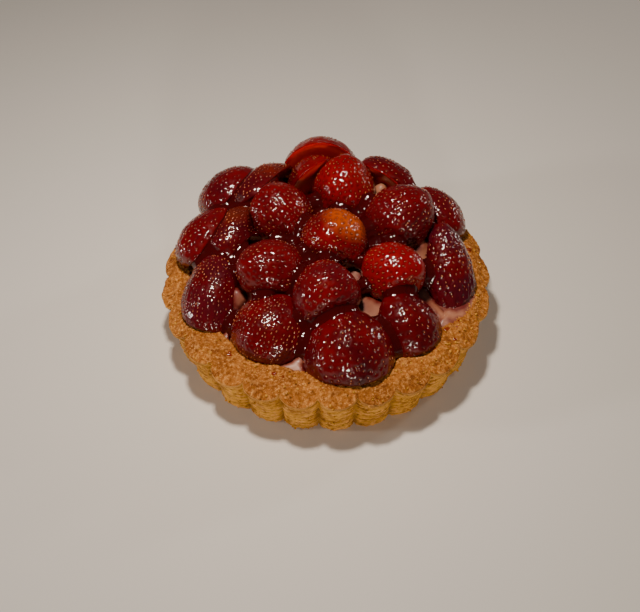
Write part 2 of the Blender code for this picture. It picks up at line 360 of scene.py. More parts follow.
def shell_profile(look):
    """Points (radius, height, flute share) of the wall, from the foot over the rim to the well's floor."""
    foot, crest, height = look.foot_radius, look.crest_radius, look.height
    corners = (
        (foot - 1.2 * MM, 0, 0.8),
        (foot - 0.2 * MM, 0.4 * MM, 0.95),
        (foot + 0.3 * MM, 1.4 * MM, 1),
        (crest - 1.4 * MM, height - 5.2 * MM, 1),
        (crest - 1.0 * MM, height - 3.3 * MM, 1),
        (crest - 0.1 * MM, height - 2.4 * MM, 1),
        (crest + 0.3 * MM, height - 1.6 * MM, 1),
        (crest, height - 0.9 * MM, 0.97),
        (crest - 1.1 * MM, height - 0.5 * MM, 0.9),
        (crest - 2.8 * MM, height - 0.1 * MM, 0.62),
        (crest - 4.5 * MM, height + 0.3 * MM, 0.3),
        (crest - 7 * MM, height + 0.5 * MM, 0.08),
        (look.inner_radius + 2 * MM, height, 0),
        (look.inner_radius, height - look.inner_drop, 0),
        (look.inner_radius - 0.5 * MM, height - look.inner_drop - 3 * MM, 0),
    )
    points = []
    for one, other in zip(corners, corners[1:]):
        run = math.dist(one[:2], other[:2])
        parts = max(1, round(run / look.step))
        points += [tuple(a + (b - a) * k / parts for a, b in zip(one, other)) for k in range(parts)]
    hidden = ((0.98 * look.inner_radius, 4 * MM, 0), (0, 4 * MM, 0))
    return [(0, 0, 0), (0.8 * foot, 0, 0), *points, corners[-1], *hidden]


def crust_relief(look, place, upness, height):
    """How far the crumb stands proud at a place, how hollow it is, and how its grain lies."""
    # Lumps are 6 and 2.8 mm across, grain 1.5 and 0.8 mm, steam holes 2.6 mm apart and layers 0.85 mm thick.
    lumps = look.lump * (noise(place / (6 * MM)) + 0.5 * noise(place / (2.8 * MM) + UP * 4))
    fine = 0.55 * noise(place / (1.5 * MM)) + 0.5 * noise(place / (0.8 * MM) + UP * 9)
    speck = voronoi(place / (2.6 * MM))[0][0]
    hole = smooth_step(0.22 - speck, 0, 0.14) * (noise(place / (9 * MM) + UP * 5) > 0.02)
    flat = Vector((place.x / (4.5 * MM), place.y / (4.5 * MM), place.z / (0.85 * MM)))
    layers = (1 - upness) * noise(flat) * smooth_step(height, 0, 3 * MM)
    rise = lumps + look.grain * fine * (0.45 + 0.55 * upness) + look.layer * layers - look.pit * hole
    return rise, hole, fine + 0.8 * layers


def pastry_mesh(look):
    """A grid bent round the axis: across it runs the turn, and along it the wall's profile."""
    profile = shell_profile(look)
    steps = look.flutes * round(math.tau * look.crest_radius / look.flutes / look.step)
    bm = bmesh.new()
    fluted = bm.verts.layers.float.new("fluted")
    bmesh.ops.create_grid(bm, x_segments=steps, y_segments=len(profile) - 1, size=1)
    for vert in bm.verts:
        turn = look.first_notch + math.pi * (vert.co.x + 1)
        radius, height, flute_share = profile[round((vert.co.y + 1) / 2 * (len(profile) - 1))]
        vert.co = (radius * math.cos(turn), radius * math.sin(turn), height)
        vert[fluted] = flute_share
    bmesh.ops.remove_doubles(bm, verts=bm.verts, dist=MERGE)
    bmesh.ops.recalc_face_normals(bm, faces=bm.faces)
    return bm, fluted


def press_flutes(bm, look, fluted):
    """Moves every point in to its flute's outline, and hangs the rim's edge over the middle of each flute."""
    notch_shade = bm.verts.layers.float.new("notch_shade")
    # Seen from above, each flute is this share of a half circle.
    arc = 0.94
    deepest = 1 - math.sqrt(1 - arc**2)
    notches = [notch_angle(look, number) for number in range(look.flutes + 1)]
    for vert in bm.verts:
        radius = vert.co.xy.length
        if radius < MM:
            continue
        turn = (math.atan2(vert.co.y, vert.co.x) - notches[0]) % math.tau + notches[0]
        number = max(index for index in range(look.flutes) if notches[index] <= turn + 1e-9)
        part = (turn - notches[number]) / (notches[number + 1] - notches[number])
        drop = (1 - math.sqrt(1 - (arc * abs(2 * part - 1)) ** 2)) / deepest
        reach = radius - vert[fluted] * look.flute_depth * drop
        waver = 0.35 * MM * (math.sin(3 * turn + 0.5) + math.sin(7 * turn))
        top = smooth_step(vert.co.z, 0.55 * look.height, 0.9 * look.height)
        hang = look.droop * vert[fluted] * top * (drop - 0.85) * (vert[fluted] > 0.3)
        ripple = 0.5 * MM * top * noise(Vector((3 * math.cos(turn), 3 * math.sin(turn), number)))
        vert.co.xy *= reach / radius
        vert.co.z += top * waver + hang + ripple
        # Notches are marked for painted shade, darkest deep in a notch and low on the wall.
        vert[notch_shade] = vert[fluted] * smooth_step(drop, 0.35, 1) * (1 - 0.8 * top)


def bake_relief(bm, look):
    """Adds the crumb, layers and pits, and stores what colours them."""
    pit_shade, relief_highlight_and_shade, air = (bm.verts.layers.float.new(name) for name in ("pit_shade", "relief_highlight_and_shade", "air"))
    bm.normal_update()
    normals = [vert.normal.copy() for vert in bm.verts]
    for vert, normal in zip(bm.verts, normals):
        if vert.co.xy.length < 0.9 * look.inner_radius:
            continue
        upness = smooth_step(normal.z, 0.1, 0.7)
        rise, hole, fine = crust_relief(look, vert.co, upness, vert.co.z)
        foot = 1 - smooth_step(vert.co.z, 0.4 * MM, 2.2 * MM)
        burr = foot * 0.7 * MM * max(0, noise(vert.co / (1.3 * MM)))
        lip = smooth_step(1 - abs(normal.z - 0.35) / 0.3, 0, 1) * (vert.co.z > 0.7 * look.height)
        ragged = lip * 0.35 * MM * noise(vert.co / (2.2 * MM) + UP * 3)
        vert.co += normal * (rise + burr + ragged)
        vert.co.z = max(vert.co.z, 0)
        # Steam holes are marked for painted shade.
        vert[pit_shade] = hole
        # Marks painted highlight on raised crumb and the lip's edge, painted shade where sunk, paler tone on
        # the foot.
        vert[relief_highlight_and_shade] = 0.7 * fine + 0.9 * lip + 0.5 * foot
        vert[air] = upness * smooth_step(vert.co.z, 0.6 * look.height, 0.9 * look.height)


def shortcrust(look):
    """Shortcrust baked in a fluted tin: matt and sandy, golden on the wall, tan and toasted on the rim."""
    made, tree = new_material("baked_shortcrust")
    place = add_node(tree, "ShaderNodeTexCoord").outputs["Object"]
    read = {
        name: add_node(tree, "ShaderNodeAttribute", attribute_name=name).outputs["Fac"]
        for name in ("air", "relief_highlight_and_shade", "pit_shade", "notch_shade")
    }
    # Oven heat browns patches about 12 mm across, and sugar speckles it every 2.2 mm.
    patches, speckle = (
        add_node(tree, "ShaderNodeTexNoise", {"Vector": place, "Scale": 1 / gap, "Detail": 4.0}).outputs[0]
        for gap in (12 * MM, 2.2 * MM)
    )
    # The crumb's grain is 1.3 mm and finer. On the wall it is drawn out along the layers of the dough.
    along = add_node(tree, "ShaderNodeVectorMath", {0: place, 1: (0.3, 0.3, 1.0)}, operation="MULTIPLY")
    stretched = {0: read["air"], 4: along.outputs[0], 5: place}
    grained = add_node(tree, "ShaderNodeMix", stretched, data_type="VECTOR")
    grain = add_node(
        tree,
        "ShaderNodeTexNoise",
        {"Vector": grained.outputs[1], "Scale": 1 / (1.3 * MM), "Detail": 4.0, "Roughness": 0.85},
    ).outputs["Fac"]
    # Where each tone shows: what is read, where it sets in, where it is full, and how strong it is then.
    toast, dark, dry, flour_and_peak_highlight, dip_shade, sunk_shade = (
        add_node(
            tree, "ShaderNodeMapRange", {"Value": value, "From Min": start, "From Max": full, "To Max": most}
        ).outputs[0]
        for value, start, full, most in (
            (patches, 0.42, 0.72, 0.75),
            (speckle, 0.5, 0.68, 0.7),
            # Raised crumb and the lip: partly dry grain, partly painted highlight.
            (read["relief_highlight_and_shade"], 0.05, 0.5, 0.75),
            # The grain's peaks: partly flour, partly painted highlight.
            (grain, 0.53, 0.65, 0.8),
            # The grain's dips: painted shade.
            (grain, 0.46, 0.36, 0.85),
            # Sunk crumb: painted shade.
            (read["relief_highlight_and_shade"], -0.12, -0.5, 0.45),
        )
    )
    lit = add_node(tree, "ShaderNodeMath", {0: dry, 1: flour_and_peak_highlight}, operation="MAXIMUM")
    deep_shade = add_node(tree, "ShaderNodeMath", {0: sunk_shade, 1: dip_shade}, operation="MAXIMUM")
    # Half of the notch mark is laid on as painted shade.
    half_notch_shade = add_node(tree, "ShaderNodeMath", {0: read["notch_shade"], 1: 0.5}, operation="MULTIPLY")
    tone = opaque(look.golden)
    for share, tint in (
        (read["air"], look.tan),
        (toast, look.toasted_and_crevice_shade),
        (dark, look.toasted_and_crevice_shade),
        (lit.outputs[0], look.floury_and_highlight),
        (deep_shade.outputs[0], look.toasted_and_crevice_shade),
        (half_notch_shade.outputs[0], look.pale_dough_and_notch_shade),
        (read["pit_shade"], look.pit_shade),
    ):
        mixed = add_node(tree, "ShaderNodeMix", {0: share, 6: tone, 7: opaque(tint)}, data_type="RGBA")
        tone = mixed.outputs[2]
    bump = add_node(tree, "ShaderNodeBump", {"Height": grain, "Strength": 1.0, "Distance": 0.6 * MM})
    # Sugar melted on the crumb leaves a broken gloss.
    gloss = add_node(tree, "ShaderNodeMapRange", {"Value": grain, "From Min": 0.58, "From Max": 0.66})
    rough = add_node(tree, "ShaderNodeMapRange", {"Value": gloss.outputs[0], "To Min": 0.9, "To Max": 0.3})
    gritty = {"Normal": bump.outputs[0], "Roughness": rough.outputs[0], "Specular IOR Level": 0.15}
    return shade(made, {"Base Color": tone, **gritty})


class TART_OT_pastry(Operator):
    """Bakes the fluted shell with its crumb, layers, pits and browning"""

    bl_idname = "tart.pastry"
    bl_label = "Bake the Shell"

    def execute(self, context):
        look = context.scene.tart_pastry
        bm, fluted = pastry_mesh(look)
        press_flutes(bm, look, fluted)
        bake_relief(bm, look)
        piece = finish_piece(bm, "baked_shell", shortcrust(look))
        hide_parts("pastry_shell")
        return {"FINISHED"}


# ---- fruit


def widest_flat(bm):
    """The point and normal of a solid's largest flat stretch: the cut face of a half berry."""
    areas = {}
    for face in bm.faces:
        normal = face.normal
        key = tuple(round(n, 2) for n in normal) + (round(normal.dot(face.verts[0].co) / MM, 1),)
        areas[key] = areas.get(key, 0) + face.calc_area()
    widest = max(areas, key=areas.get)
    normal = Vector(widest[:3]).normalized()
    return normal * widest[3] * MM, normal


def berry_skin(node, look):
    """A berry's solid as an even, rounded skin, and its cut face as a point and a normal, or None."""
    bm = merged_copy(node)
    cut = widest_flat(bm) if node.startswith("half") else None
    fine = even_skin(bm, look.step)
    if cut:
        # The cut face stays flat while the rest is rounded, and only its edge is softened.
        point, normal = cut
        skin = [vert for vert in fine.verts if abs((vert.co - point).dot(normal)) > 0.3 * MM]
        relax(fine, skin, 50)
        relax(fine, fine.verts, 4)
    else:
        relax(fine, fine.verts, 55)
    fine.normal_update()
    return fine, cut


def on_cut(vert, cut):
    """Whether a point of a berry's skin lies on its cut face."""
    point, normal = cut
    return abs((vert.co - point).dot(normal)) < 0.45 * MM and vert.normal.dot(normal) > 0.8


# How far seeds stray and how far apart their rows are, as shares of their spacing.
SEED_STRAY, ROW_GAP = 0.26, 0.87
# The spacing at which their dimples are full deep, in millimetres.
FULL_SPACING = 2.6
# How many rays measure a row's girth, and where a berry's ends begin, which bear no seeds.
GIRTH_RAYS, BARE_END = 12, 0.97


def seed_places(bm, fruit, cut, dice):
    """Rows of seeds around a berry, each row set between the seeds of the last: (place, skin normal)."""
    tree = BVHTree.FromBMesh(bm)
    middle = sum((vert.co for vert in bm.verts), Vector()) / len(bm.verts)
    tip = on_bearing(*fruit.tip)
    across = tip.orthogonal().normalized()
    reach = [(vert.co - middle).dot(tip) for vert in bm.verts]
    gap = fruit.spacing * MM
    far = 60 * MM
    places = []
    along = min(reach)
    row = 0
    while along < max(reach):
        centre = middle + tip * along
        hits = []
        for ray in range(GIRTH_RAYS):
            way = Matrix.Rotation(math.tau * ray / GIRTH_RAYS, 3, tip) @ across
            hit = tree.ray_cast(centre + way * far, -way, far)
            if hit[0]:
                hits.append((hit[0] - centre).length)
        if not hits:
            along += 0.3 * gap
            continue
        radius = sum(hits) / len(hits)
        count = max(1, round(math.tau * radius / gap))
        slopes = []
        for number in range(count):
            turn = math.tau * (number + 0.5 * (row % 2) + dice.uniform(-SEED_STRAY, SEED_STRAY)) / count
            way = Matrix.Rotation(turn, 3, tip) @ across
            start = centre + way * far + tip * dice.uniform(-SEED_STRAY, SEED_STRAY) * gap
            place, normal, _, _ = tree.ray_cast(start, -way, far)
            if place is None:
                continue
            slopes.append(abs(normal.dot(tip)))
            if cut and abs((place - cut[0]).dot(cut[1])) < 0.9 * MM:
                continue
            if abs(normal.dot(tip)) < BARE_END:
                places.append((place, normal))
        slope = sum(slopes) / len(slopes) if slopes else 0
        along += ROW_GAP * gap * max(0.25, math.sqrt(1 - min(slope, BARE_END) ** 2))
        row += 1
    return places


def shape_skin(bm, fruit, cut, seeds, look):
    """Swells and wrinkles the skin, dimples it around the seeds, and stores what colours it."""
    layers = {name: bm.verts.layers.float.new(name) for name in READINGS}
    dice = random.Random(hash_of(fruit.node))
    # Where seeds sit closer together their dimples are shallower.
    shallow = min(fruit.spacing / FULL_SPACING, 1) ** 2
    depths = [shallow * dice.uniform(0.4, 1.2) for _ in seeds]
    tree = nearest_of([place for place, _ in seeds])
    middle = sum((vert.co for vert in bm.verts), Vector()) / len(bm.verts)
    tip = on_bearing(*fruit.tip)
    side = tip.orthogonal().normalized()
    blush_way = on_bearing(*fruit.blush[:2])
    own = Vector((hash_of(fruit.node), 0, 0))
    width = max((vert.co - middle).length for vert in bm.verts)
    edge = cut_edge(bm, cut)
    # Swellings are 8 mm across, slack patches 12 mm, changes of ripeness 9 mm and ripples of glaze 1.4 mm.
    # Folds are 1.9 mm apart and run 9 mm or so from tip to stem.
    for vert in bm.verts:
        place, normal = vert.co.copy(), vert.normal.copy()
        out = place - middle
        flat = on_cut(vert, cut) if cut else False
        uneven = noise(place / (8 * MM) + own)
        around = math.atan2(out.dot(tip.cross(side)), out.dot(side)) * width
        folds = noise(Vector((around / (1.9 * MM), out.dot(tip) / (9 * MM), 3)) + own)
        slack = fruit.wrinkle * smooth_step(noise(place / (12 * MM) + own + UP * 7), -0.25, 0.3)
        vert[layers["blush"]] = fruit.blush[2] * smooth_step(out.normalized().dot(blush_way), 0.55, 0.98)
        vert[layers["ripe"]] = fruit.ripe + 0.35 * noise(place / (9 * MM) + own + UP * 2)
        vert[layers["shrunk"]] = slack * (1 - 0.6 * abs(folds))
        if flat:
            vert[layers["cut"]] = 1
            vert[layers["flesh"]] = fruit.flesh
            vert[layers["heart"]] = fruit.flesh * streak(edge.find(place)[2]) if edge else 0
            vert.co += normal * look.unevenness * 0.4 * uneven
            continue
        _, nearest, reach = tree.find(place) if seeds else (None, 0, 1)
        stretch = 1 + 0.5 * noise(place / (1.1 * MM) + own)
        dimple = math.exp(-((reach * stretch / look.pit_width) ** 2))
        # The dimple is also stored as painted shade for the skin's colour.
        vert[layers["pit"]] = dimple
        ripple = look.ripple * noise(place / (1.4 * MM) + own)
        pit = look.pit_depth * dimple * (depths[nearest] if seeds else 0)
        vert.co += normal * (look.unevenness * uneven + look.wrinkle * slack * folds + ripple - pit)
    return [look.pit_depth * depth for depth in depths]


def streak(depth):
    """How pale the cut flesh is at a distance from the skin: palest a few millimetres in."""
    return smooth_step(depth, 0.4 * MM, 2 * MM) * (1 - 0.95 * smooth_step(depth, 1.8 * MM, 4.5 * MM))


def nearest_of(places):
    """What finds the nearest of some places."""
    tree = KDTree(max(len(places), 1))
    for index, place in enumerate(places):
        tree.insert(place, index)
    tree.balance()
    return tree


def hash_of(name):
    """A number that is always the same for a name."""
    return sum(ord(letter) * (place + 1) for place, letter in enumerate(name)) % 97


def cut_edge(bm, cut):
    """The points along the edge of a cut face, for measuring how far inside it a place is."""
    if not cut:
        return None
    flat = {vert for vert in bm.verts if on_cut(vert, cut)}
    edge = [vert.co for vert in flat if any(other.other_vert(vert) not in flat for other in vert.link_edges)]
    return nearest_of(edge) if edge else None


def strawberry_skin(look):
    """Ripe strawberry under set glaze: wet and glassy, dark red with a lighter red where it was less ripe."""
    made, tree = new_material("glazed_strawberry")
    place = add_node(tree, "ShaderNodeTexCoord").outputs["Object"]
    read = {
        name: add_node(tree, "ShaderNodeAttribute", attribute_name=name).outputs["Fac"]
        for name in READINGS
    }
    # Skin mottles every 3 mm or so. Ripples about 1 mm apart in the glaze break up highlights.
    mottle, ripples = (
        add_node(tree, "ShaderNodeTexNoise", {"Vector": place, **pattern}).outputs["Fac"]
        for pattern in (
            {"Scale": 1 / (3 * MM), "Detail": 3.0},
            {"Scale": 1 / (1.1 * MM), "Detail": 1.0, "Distortion": 0.4},
        )
    )
    # Fibres run from the heart of a cut face, so its pale middle is streaked.
    ripeness, heart = (
        add_node(tree, "ShaderNodeMath", {0: mottle, 1: swing, 2: base}, operation="MULTIPLY_ADD").outputs[0]
        for swing, base in ((0.8, read["ripe"]), (1.6, 0.1))
    )
    ripe = add_node(tree, "ShaderNodeMapRange", {"Value": ripeness, "From Min": 0.3, "From Max": 1.5})
    # Dimples round the seeds are darkened towards wine red as painted shade.
    dimple = add_node(tree, "ShaderNodeMath", {0: read["pit"], 1: 0.55}, operation="MULTIPLY")
    streaked = add_node(
        tree, "ShaderNodeMath", {0: heart, 1: read["heart"]}, operation="MULTIPLY", use_clamp=True
    )
    skin, flesh = opaque(look.wine), opaque(look.flesh)
    for share, tint in (
        (ripe.outputs[0], look.scarlet),
        (read["blush"], look.pale),
        (read["shrunk"], look.plum),
        (dimple.outputs[0], look.wine),
    ):
        mixed = add_node(tree, "ShaderNodeMix", {0: share, 6: skin, 7: opaque(tint)}, data_type="RGBA")
        skin = mixed.outputs[2]
    for share, tint in ((read["flesh"], look.bright_flesh), (streaked.outputs[0], look.heart)):
        mixed = add_node(tree, "ShaderNodeMix", {0: share, 6: flesh, 7: opaque(tint)}, data_type="RGBA")
        flesh = mixed.outputs[2]
    whole = add_node(tree, "ShaderNodeMix", {0: read["cut"], 6: skin, 7: flesh}, data_type="RGBA")
    bump = add_node(tree, "ShaderNodeBump", {"Height": ripples, "Strength": 1.0, "Distance": 0.1 * MM})
    wet = {"Coat Weight": 1.0, "Coat Roughness": 0.035, "Coat IOR": 1.42, "Coat Normal": bump.outputs[0]}
    return shade(made, {"Base Color": whole.outputs[2], "Roughness": 0.35, "Specular IOR Level": 0.05, **wet})


def seed_finish(look):
    """Strawberry seeds in glaze: hard, straw to amber, each with its own small highlight."""
    made, tree = new_material("strawberry_seed")
    place = add_node(tree, "ShaderNodeTexCoord").outputs["Object"]
    # The tone changes in patches about 9 mm across, and within them from seed to seed.
    patches = add_node(tree, "ShaderNodeTexNoise", {"Vector": place, "Scale": 1 / (9 * MM), "Detail": 2.0})
    tone = {"Value": patches.outputs["Fac"], "From Min": 0.42, "From Max": 0.66}
    ramp = add_node(tree, "ShaderNodeMapRange", tone)
    dry = {0: ramp.outputs[0], 6: opaque(look.amber), 7: opaque(look.straw)}
    mixed = add_node(tree, "ShaderNodeMix", dry, data_type="RGBA")
    wet = {"Roughness": 0.3, "Coat Weight": 1.0, "Coat Roughness": 0.04}
    return shade(made, {"Base Color": mixed.outputs[2], **wet})


def seed_shape(look):
    """One teardrop seed: blunt at the stem's end and pointed at the tip's, and flatter than it is wide."""
    bm = bmesh.new()
    bmesh.ops.create_uvsphere(bm, u_segments=6, v_segments=4, radius=0.5)
    for vert in bm.verts:
        taper = look.seed_width * (1 - 0.6 * vert.co.y)
        vert.co = Vector((vert.co.x * taper, vert.co.y * look.seed_length, vert.co.z * 0.7 * look.seed_width))
    return as_mesh(bm, "shape")


class TART_OT_fruit(Operator):
    """Shapes every berry and sets its seeds"""

    bl_idname = "tart.fruit"
    bl_label = "Lay the Fruit"

    def execute(self, context):
        look = context.scene.tart_fruit
        finish = strawberry_skin(look)
        seeds = bmesh.new()
        shape = seed_shape(look)
        cover = covers()
        for fruit in FRUIT:
            dice = random.Random(hash_of(fruit.node))
            bm, cut = berry_skin(fruit.node, look)
            places = seed_places(bm, fruit, cut, dice)
            depths = shape_skin(bm, fruit, cut, places, look)
            for (place, normal), depth in zip(places, depths):
                if not in_the_open(place + normal * 0.6 * MM, fruit.node, cover):
                    continue
                turned = Matrix.Rotation(dice.uniform(-0.35, 0.35), 3, normal) @ on_bearing(*fruit.tip)
                seat = frame_on(place - normal * (depth - look.seed_rise), normal, turned)
                copy_into(seeds, shape, seat @ Matrix.Scale(dice.uniform(0.8, 1.15), 4))
            piece = finish_piece(bm, "glazed_" + fruit.node, finish)
            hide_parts(fruit.node)
        finish_piece(seeds, "strawberry_seeds", seed_finish(look))
        return {"FINISHED"}


def covers():
    """What may cover a seed or a crumb: every solid's surface, by node."""
    found = {}
    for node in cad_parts:
        bm = merged_copy(node)
        found[node] = BVHTree.FromBMesh(bm)
        bm.free()
    return found


def in_the_open(place, own_node, cover):
    """Whether a place is outside every other solid, none of which is more than 20 mm deep."""
    for node, tree in cover.items():
        if node == own_node:
            continue
        near, normal, _, distance = tree.find_nearest(place)
        if (place - near).dot(normal) < 0 and distance < 20 * MM:
            return False
    return True


# ---- cream


def vanilla_cream(look):
    """Set vanilla cream: smooth, satin, ivory, stained where juice ran in, and painted with shade among the
    berries.
    """
    made, tree = new_material("vanilla_cream")
    place = add_node(tree, "ShaderNodeTexCoord").outputs["Object"]
    stain_and_shade = add_node(tree, "ShaderNodeAttribute", attribute_name="stain_and_shade").outputs["Fac"]
    # Air bubbles about 0.9 mm apart break the surface. Stain and painted shade spread in tongues about 4 mm
    # wide.
    bubbles = add_node(tree, "ShaderNodeTexNoise", {"Vector": place, "Scale": 1 / (0.9 * MM), "Detail": 2.0})
    tongues = add_node(tree, "ShaderNodeTexNoise", {"Vector": place, "Scale": 1 / (4 * MM), "Detail": 3.0})
    spread = add_node(
        tree, "ShaderNodeMath", {0: tongues.outputs["Fac"], 1: 1.6, 2: 0.2}, operation="MULTIPLY_ADD"
    )
    wet = add_node(
        tree, "ShaderNodeMath", {0: stain_and_shade, 1: spread.outputs[0]}, operation="MULTIPLY", use_clamp=True
    )
    juice_and_shade = {0: wet.outputs[0], 6: opaque(look.vanilla), 7: opaque(look.stained_and_shaded)}
    mixed = add_node(tree, "ShaderNodeMix", juice_and_shade, data_type="RGBA")
    bump = add_node(
        tree, "ShaderNodeBump", {"Height": bubbles.outputs["Fac"], "Strength": 0.25, "Distance": 0.2 * MM}
    )
    satin = {"Roughness": 0.5, "Coat Weight": 0.15, "Coat Roughness": 0.2}
    return shade(made, {"Base Color": mixed.outputs[2], "Normal": bump.outputs[0], **satin})


def mound(place, dollop):
    """The height of a dollop over a place."""
    x, y, radius, rise = dollop
    far = (place.xy - Vector((x, y)) * MM).length / (radius * MM)
    return rise * MM * math.exp(-far * far)


# The smear starts at this radius, under the berries, and at this height. Its thin edge is sunk this far into
# the crust, its sheet is this thick, and it reaches this much less far on one side than on the other.
SMEAR_ROOT, SMEAR_FLOOR = 44 * MM, 20.8 * MM
SMEAR_SINK, SMEAR_SHEET, SMEAR_SLANT = 0.3 * MM, 0.8 * MM, 6.5 * MM


def smear_film(bm, look, crust, fruit, stain_and_shade):
    """Where cream was spread over the rim it lies on the pastry as a thin film with a juicy edge."""
    made = bmesh.ops.create_grid(bm, x_segments=36, y_segments=16, size=1)["verts"]
    for vert in made:
        side, out = vert.co.x, (vert.co.y + 1) / 2
        turn = look.smear_turn + side * look.smear_width
        wave = 0.8 * MM * noise(Vector((side * 4, 0, 7)))
        edge = look.smear_reach - SMEAR_SLANT * smooth_step(-side, 0, 1) + wave
        radius = SMEAR_ROOT + out * (edge - SMEAR_ROOT)
        flat = Vector((radius * math.cos(turn), radius * math.sin(turn), 0))
        under = crust.ray_cast(flat + UP * CLEAR, -UP)[0].z
        film = look.smear_rise * (1 - out**4) * (1 - side**4) - SMEAR_SINK
        ripple = look.ripple * noise(flat / (4 * MM))
        vert.co = flat + UP * (max(under, SMEAR_FLOOR) + film + ripple)
        # Beside the fruit the film takes the cream's stain and painted shade; its edge is stained by juice.
        near = fruit.find_nearest(vert.co)[3]
        juice = 0.75 * smooth_step(out + 0.25 * noise(flat / (3 * MM)), 0.72, 1)
        vert[stain_and_shade] = max(1 - smooth_step(near, 0.3 * MM, 2.6 * MM), juice)
    grid = set(made)
    faces = [face for face in bm.faces if grid.issuperset(face.verts)]
    bmesh.ops.recalc_face_normals(bm, faces=faces)
    if faces[0].normal.z < 0:
        bmesh.ops.reverse_faces(bm, faces=faces)
    bmesh.ops.solidify(bm, geom=faces, thickness=SMEAR_SHEET)


class TART_OT_cream(Operator):
    """Fills the shell with cream that closes up to the fruit, takes its juice and is darkened by painted
    shade among it
    """

    bl_idname = "tart.cream"
    bl_label = "Fill with Cream"

    def execute(self, context):
        look = context.scene.tart_cream
        bm = even_skin(merged_copy("cream"), look.step)
        relax(bm, bm.verts, 3)
        bm.normal_update()
        stain_and_shade = bm.verts.layers.float.new("stain_and_shade")
        fruit = BVHTree.FromBMesh(all_berries())
        for vert in bm.verts:
            wide = 1 if vert.co.z > SHELL_HIGH.z - 6 * MM else 0.4
            ripple = look.ripple * noise(vert.co / (6 * MM))
            raised = sum(mound(vert.co, dollop) for dollop in DOLLOPS) * (vert.normal.z > 0.3)
            near = fruit.find_nearest(vert.co + UP * raised)[3]
            # Stain and painted shade reach furthest among the berries; the rim's side and the highest cream
            # stay clear.
            reach = look.stain_and_shade_reach * (1 - 0.45 * smooth_step(vert.co.xy.length, 42 * MM, 50 * MM))
            clear_of_stain_and_shade = smooth_step(raised, 5.5 * MM, 9 * MM)
            soaked_and_shaded = sum(mound(vert.co, place) for place in SOAKED_AND_SHADED) / MM
            vert[stain_and_shade] = max((1 - smooth_step(near, 0.3 * MM, reach)) * (1 - clear_of_stain_and_shade), soaked_and_shaded)
            vert.co += vert.normal * (wide * look.swell + ripple)
            vert.co.z += raised
        smear_film(bm, look, surface_of("baked_shell"), fruit, stain_and_shade)
        piece = finish_piece(bm, "cream_filling", vanilla_cream(look))
        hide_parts("cream")
        return {"FINISHED"}


# ---- glaze


def all_berries(most_flesh=1):
    """The berries' solids in one bmesh, without those whose cut faces are paler than most_flesh."""
    bm = bmesh.new()
    for fruit in FRUIT:
        if fruit.flesh <= most_flesh:
            bm.from_mesh(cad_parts[fruit.node].data)
    bmesh.ops.remove_doubles(bm, verts=bm.verts, dist=MERGE)
    return bm


def push(bm, distance):
    """Moves a whole skin out along its normals, or in."""
    bm.normal_update()
    moves = [vert.normal * distance for vert in bm.verts]
    for vert, move in zip(bm.verts, moves):
        vert.co += move


def jelly_finish(look):
    """Set strawberry jelly between berries: wet, dark and glassy, with a faint unevenness."""
    made, tree = new_material("strawberry_jelly")
    place = add_node(tree, "ShaderNodeTexCoord").outputs["Object"]
    # Ripples about 2 mm apart keep its highlights from running in smooth lines.
    ripples = add_node(tree, "ShaderNodeTexNoise", {"Vector": place, "Scale": 1 / (2 * MM), "Detail": 1.0})
    bump = add_node(
        tree, "ShaderNodeBump", {"Height": ripples.outputs["Fac"], "Strength": 0.4, "Distance": 0.4 * MM}
    )
    wet = {"Roughness": 0.08, "IOR": 1.45}
    return shade(made, {"Base Color": opaque(look.jelly), "Normal": bump.outputs[0], **wet})


def syrup_finish(look):
    """A thin splash of glaze on pastry: the crust shows through it as amber, under a clear gloss."""
    clear = {"Base Color": opaque(look.syrup), "Roughness": 0.12, "IOR": 1.45}
    return shade(new_material("splashed_glaze")[0], clear)


# The numbers that the dice for splashes and for crumbs start from.
SPLASH_DICE, CRUMB_DICE = 12, 5
# The radius that splashes of glaze stay within, in millimetres.
SPLASH_REACH = 62


class TART_OT_glaze(Operator):
    """Pools glaze between the berries and splashes it on the rim"""

    bl_idname = "tart.glaze"
    bl_label = "Pour the Glaze"

    def execute(self, context):
        look = context.scene.tart_glaze
        # Growing the berries, joining what meets and shrinking it back leaves a fillet in each crevice.
        bm = even_skin(all_berries(most_flesh=0.3), look.step)
        relax(bm, bm.verts, 4)
        push(bm, look.fillet)
        bm = even_skin(bm, look.step)
        relax(bm, bm.verts, 2)
        push(bm, -look.fillet - look.sink)
        relax(bm, bm.verts, 4)
        for vert in bm.verts:
            vert.co.z -= sum(1.6 * mound(vert.co, dollop) for dollop in DOLLOPS)
        finish_piece(bm, "glaze_fillets", jelly_finish(look))
        dice = random.Random(SPLASH_DICE)
        drops = bmesh.new()
        shape = drop_shape()
        crust = surface_of("baked_shell")
        for _ in range(look.drops):
            turn = dice.uniform(0, math.tau)
            radius = dice.uniform(0.87, 0.97) * SPLASH_REACH * MM
            start = Vector((radius * math.cos(turn), radius * math.sin(turn), CLEAR))
            place, normal, _, _ = crust.ray_cast(start, -UP)
            width = dice.uniform(0.6, 2.0) * MM
            spin = Matrix.Rotation(dice.uniform(0, math.tau), 3, "Z") @ Vector((1, 0, 0))
            flat_drop = Matrix.Diagonal((width, width * dice.uniform(1, 1.8), width * 0.3, 1))
            copy_into(drops, shape, frame_on(place, normal, spin) @ flat_drop)
        finish_piece(drops, "glaze_drops", syrup_finish(look))
        return {"FINISHED"}


def drop_shape():
    """One round drop, flattened when it is set in place."""
    bm = bmesh.new()
    bmesh.ops.create_icosphere(bm, subdivisions=2, radius=0.5)
    return as_mesh(bm, "shape")


def surface_of(name):
    """A finished piece's surface, to set small things on."""
    bm = bmesh.new()
    bm.from_mesh(bpy.data.objects[name].data)
    tree = BVHTree.FromBMesh(bm)
    bm.free()
    return tree


# ---- crumbs


